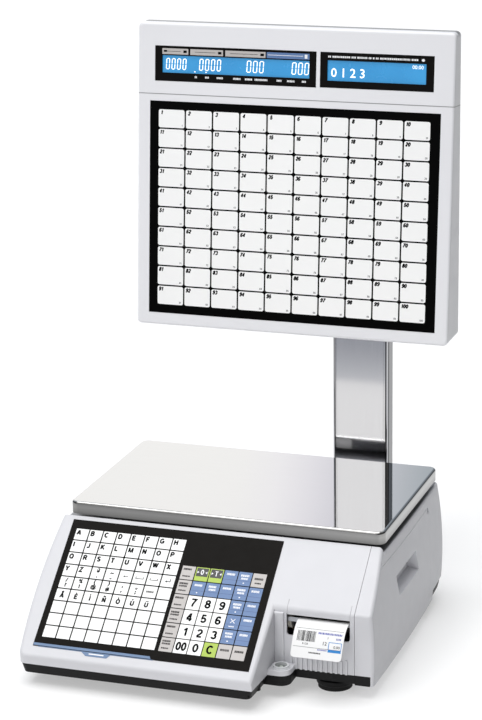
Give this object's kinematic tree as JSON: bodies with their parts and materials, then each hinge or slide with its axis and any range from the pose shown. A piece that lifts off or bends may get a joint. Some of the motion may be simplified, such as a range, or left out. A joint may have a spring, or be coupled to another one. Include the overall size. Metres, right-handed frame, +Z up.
{
  "type": "retail price scale",
  "caption": "Label-printing retail price scale: steel platter, sloping keyboard, side-door printer and a pole-mounted speed-key head with lit displays.",
  "frame": {"origin": "on the counter surface, midway in depth of the overall bounding box and within 5 mm of its middle in width (the left flank bulges a little further than the right one)", "axes": "+Z up, -Y towards the clerk who reads the keyboard, +X to the clerk's right, where the printer and its door are"},
  "size_m": [0.4201, 0.468, 0.709],
  "materials": {
    "housing_white": "fine satin",
    "base_black": "satin",
    "zinc_screws": "zinc",
    "membrane": "matte",
    "overlay_film": "printed film",
    "key_sheet": "clear film",
    "level_cup": "satin",
    "level_glass": "clear",
    "aluminium_parts": "machined",
    "spider_cast": "cast",
    "rubber_black": "matte",
    "stainless": "polished",
    "pole_steel": "polished",
    "platen_rubber": "matte",
    "gear_plastic": "moulded",
    "brass_gear": "machined",
    "gear_black": "moulded",
    "motor_steel": "plated",
    "plated_steel": "zinc",
    "head_ceramic": "machined",
    "lever_blue": "moulded",
    "label_paper": "paper",
    "label_print": "paper",
    "board_green": "solder mask",
    "socket_black": "moulded",
    "rocker_black": "moulded",
    "head_white": "fine satin",
    "display_window": "smoked",
    "lcd_blue": "lit",
    "foot_rubber": "matte",
    "foot_black": "moulded"
  },
  "bodies": {
    "scale_body": {"upper_housing": "housing_white", "slot_hood": "housing_white", "base_tray": "base_black", "housing_screws": "zinc_screws", "load_cell_bolts": "zinc_screws", "pole_screws": "zinc_screws", "head_screws": "zinc_screws", "key_membrane": "membrane", "head_key_membrane": "membrane", "key_overlay": "overlay_film", "head_key_overlay": "overlay_film", "level_cup": "level_cup", "level_lens": "level_glass", "load_cell": "aluminium_parts", "load_cell_spacers": "aluminium_parts", "platter_spider": "spider_cast", "spider_pads": "rubber_black", "pole": "pole_steel", "stepper_motor": "motor_steel", "printer_frame": "plated_steel", "printed_label": "label_print", "main_board": "board_green", "power_board": "board_green", "display_board": "board_green", "power_inlet": "socket_black", "switch_bezel": "socket_black", "rear_ports": "socket_black", "pole_bracket": "plated_steel", "head_bracket": "plated_steel", "head_key_plate": "plated_steel", "head_front_frame": "head_white", "head_header": "head_white", "head_back_shell": "head_white", "pole_collar": "head_white", "customer_lens": "display_window", "price_lens": "display_window", "text_lens": "display_window", "price_lcd": "lcd_blue", "text_lcd": "lcd_blue", "customer_lcd": "lcd_blue"},
    "platter": {"platter": "stainless"},
    "side_door": {"side_door": "housing_white", "door_sill": "base_black"},
    "key_sheet": {"key_sheet": "key_sheet"},
    "power_rocker": {"power_rocker": "rocker_black"},
    "release_lever": {"release_lever": "lever_blue"},
    "print_head": {"print_head": "head_ceramic"},
    "platen": {"platen_roller": "platen_rubber", "platen_gear": "gear_plastic"},
    "motor_pinion": {"motor_pinion": "brass_gear"},
    "label_roll": {"label_roll": "label_paper"},
    "rewind_spool": {"rewind_spool": "gear_black"},
    "foot_pad_front_left": {"foot_pad_front_left": "foot_rubber"},
    "foot_screw_front_left": {"foot_screw_front_left": "foot_black"},
    "foot_pad_front_right": {"foot_pad_front_right": "foot_rubber"},
    "foot_screw_front_right": {"foot_screw_front_right": "foot_black"},
    "foot_pad_rear_left": {"foot_pad_rear_left": "foot_rubber"},
    "foot_screw_rear_left": {"foot_screw_rear_left": "foot_black"},
    "foot_pad_rear_right": {"foot_pad_rear_right": "foot_rubber"},
    "foot_screw_rear_right": {"foot_screw_rear_right": "foot_black"}
  },
  "joints": [
    {"name": "platter_lift", "type": "slide", "parent": "scale_body", "child": "platter", "axis": [0, 0, 1], "range_m": [0, 0.06]},
    {"name": "side_door_hinge", "type": "hinge", "parent": "scale_body", "child": "side_door", "pos_m": [0.193, 0.11, 0.078], "axis": [0, 0, 1], "range_deg": [0, 90]},
    {"name": "key_sheet_slide", "type": "slide", "parent": "scale_body", "child": "key_sheet", "axis": [0, -0.7771, -0.6293], "range_m": [0, 0.165]},
    {"name": "power_rocker_tilt", "type": "hinge", "parent": "scale_body", "child": "power_rocker", "pos_m": [-0.122, 0.173, 0.057], "axis": [1, 0, 0], "range_deg": [-16, 0]},
    {"name": "release_lever_turn", "type": "hinge", "parent": "scale_body", "child": "release_lever", "pos_m": [0.139, -0.133, 0.1055], "axis": [1, 0, 0], "range_deg": [0, 75]},
    {"name": "print_head_lift", "type": "hinge", "parent": "scale_body", "child": "print_head", "pos_m": [0.139, -0.104, 0.106], "axis": [1, 0, 0], "range_deg": [-5, 0]},
    {"name": "platen_spin", "type": "hinge", "parent": "scale_body", "child": "platen", "pos_m": [0.139, -0.141, 0.0815], "axis": [1, 0, 0], "continuous": true},
    {"name": "motor_pinion_spin", "type": "hinge", "parent": "scale_body", "child": "motor_pinion", "pos_m": [0.101, -0.13232, 0.07116], "axis": [1, 0, 0], "continuous": true},
    {"name": "rewind_spin", "type": "hinge", "parent": "scale_body", "child": "rewind_spool", "pos_m": [0.139, -0.12467, 0.05791], "axis": [1, 0, 0], "continuous": true},
    {"name": "label_roll_spin", "type": "hinge", "parent": "scale_body", "child": "label_roll", "pos_m": [0.143, -0.028, 0.074], "axis": [1, 0, 0], "continuous": true},
    {"name": "foot_front_left_height", "type": "slide", "parent": "scale_body", "child": "foot_pad_front_left", "axis": [0, 0, -1], "range_m": [0, 0.0075]},
    {"name": "foot_front_left_turn", "type": "hinge", "parent": "foot_pad_front_left", "child": "foot_screw_front_left", "pos_m": [-0.149, -0.127, 0.008], "axis": [0, 0, -1], "range_deg": [0, 1800]},
    {"name": "foot_front_right_height", "type": "slide", "parent": "scale_body", "child": "foot_pad_front_right", "axis": [0, 0, -1], "range_m": [0, 0.0075]},
    {"name": "foot_front_right_turn", "type": "hinge", "parent": "foot_pad_front_right", "child": "foot_screw_front_right", "pos_m": [0.149, -0.127, 0.008], "axis": [0, 0, -1], "range_deg": [0, 1800]},
    {"name": "foot_rear_left_height", "type": "slide", "parent": "scale_body", "child": "foot_pad_rear_left", "axis": [0, 0, -1], "range_m": [0, 0.0075]},
    {"name": "foot_rear_left_turn", "type": "hinge", "parent": "foot_pad_rear_left", "child": "foot_screw_rear_left", "pos_m": [-0.149, 0.14, 0.008], "axis": [0, 0, -1], "range_deg": [0, 1800]},
    {"name": "foot_rear_right_height", "type": "slide", "parent": "scale_body", "child": "foot_pad_rear_right", "axis": [0, 0, -1], "range_m": [0, 0.0075]},
    {"name": "foot_rear_right_turn", "type": "hinge", "parent": "foot_pad_rear_right", "child": "foot_screw_rear_right", "pos_m": [0.149, 0.14, 0.008], "axis": [0, 0, -1], "range_deg": [0, 1800]}
  ],
  "couplings": [
    {"joint": "print_head_lift", "follows": "release_lever_turn", "ratio": -0.066667},
    {"joint": "motor_pinion_spin", "follows": "platen_spin", "ratio": -2},
    {"joint": "rewind_spin", "follows": "platen_spin", "ratio": 0.83333},
    {"joint": "foot_front_left_height", "follows": "foot_front_left_turn", "m_per_rad": 0.00023871},
    {"joint": "foot_front_right_height", "follows": "foot_front_right_turn", "m_per_rad": 0.00023871},
    {"joint": "foot_rear_left_height", "follows": "foot_rear_left_turn", "m_per_rad": 0.00023871},
    {"joint": "foot_rear_right_height", "follows": "foot_rear_right_turn", "m_per_rad": 0.00023871}
  ]
}
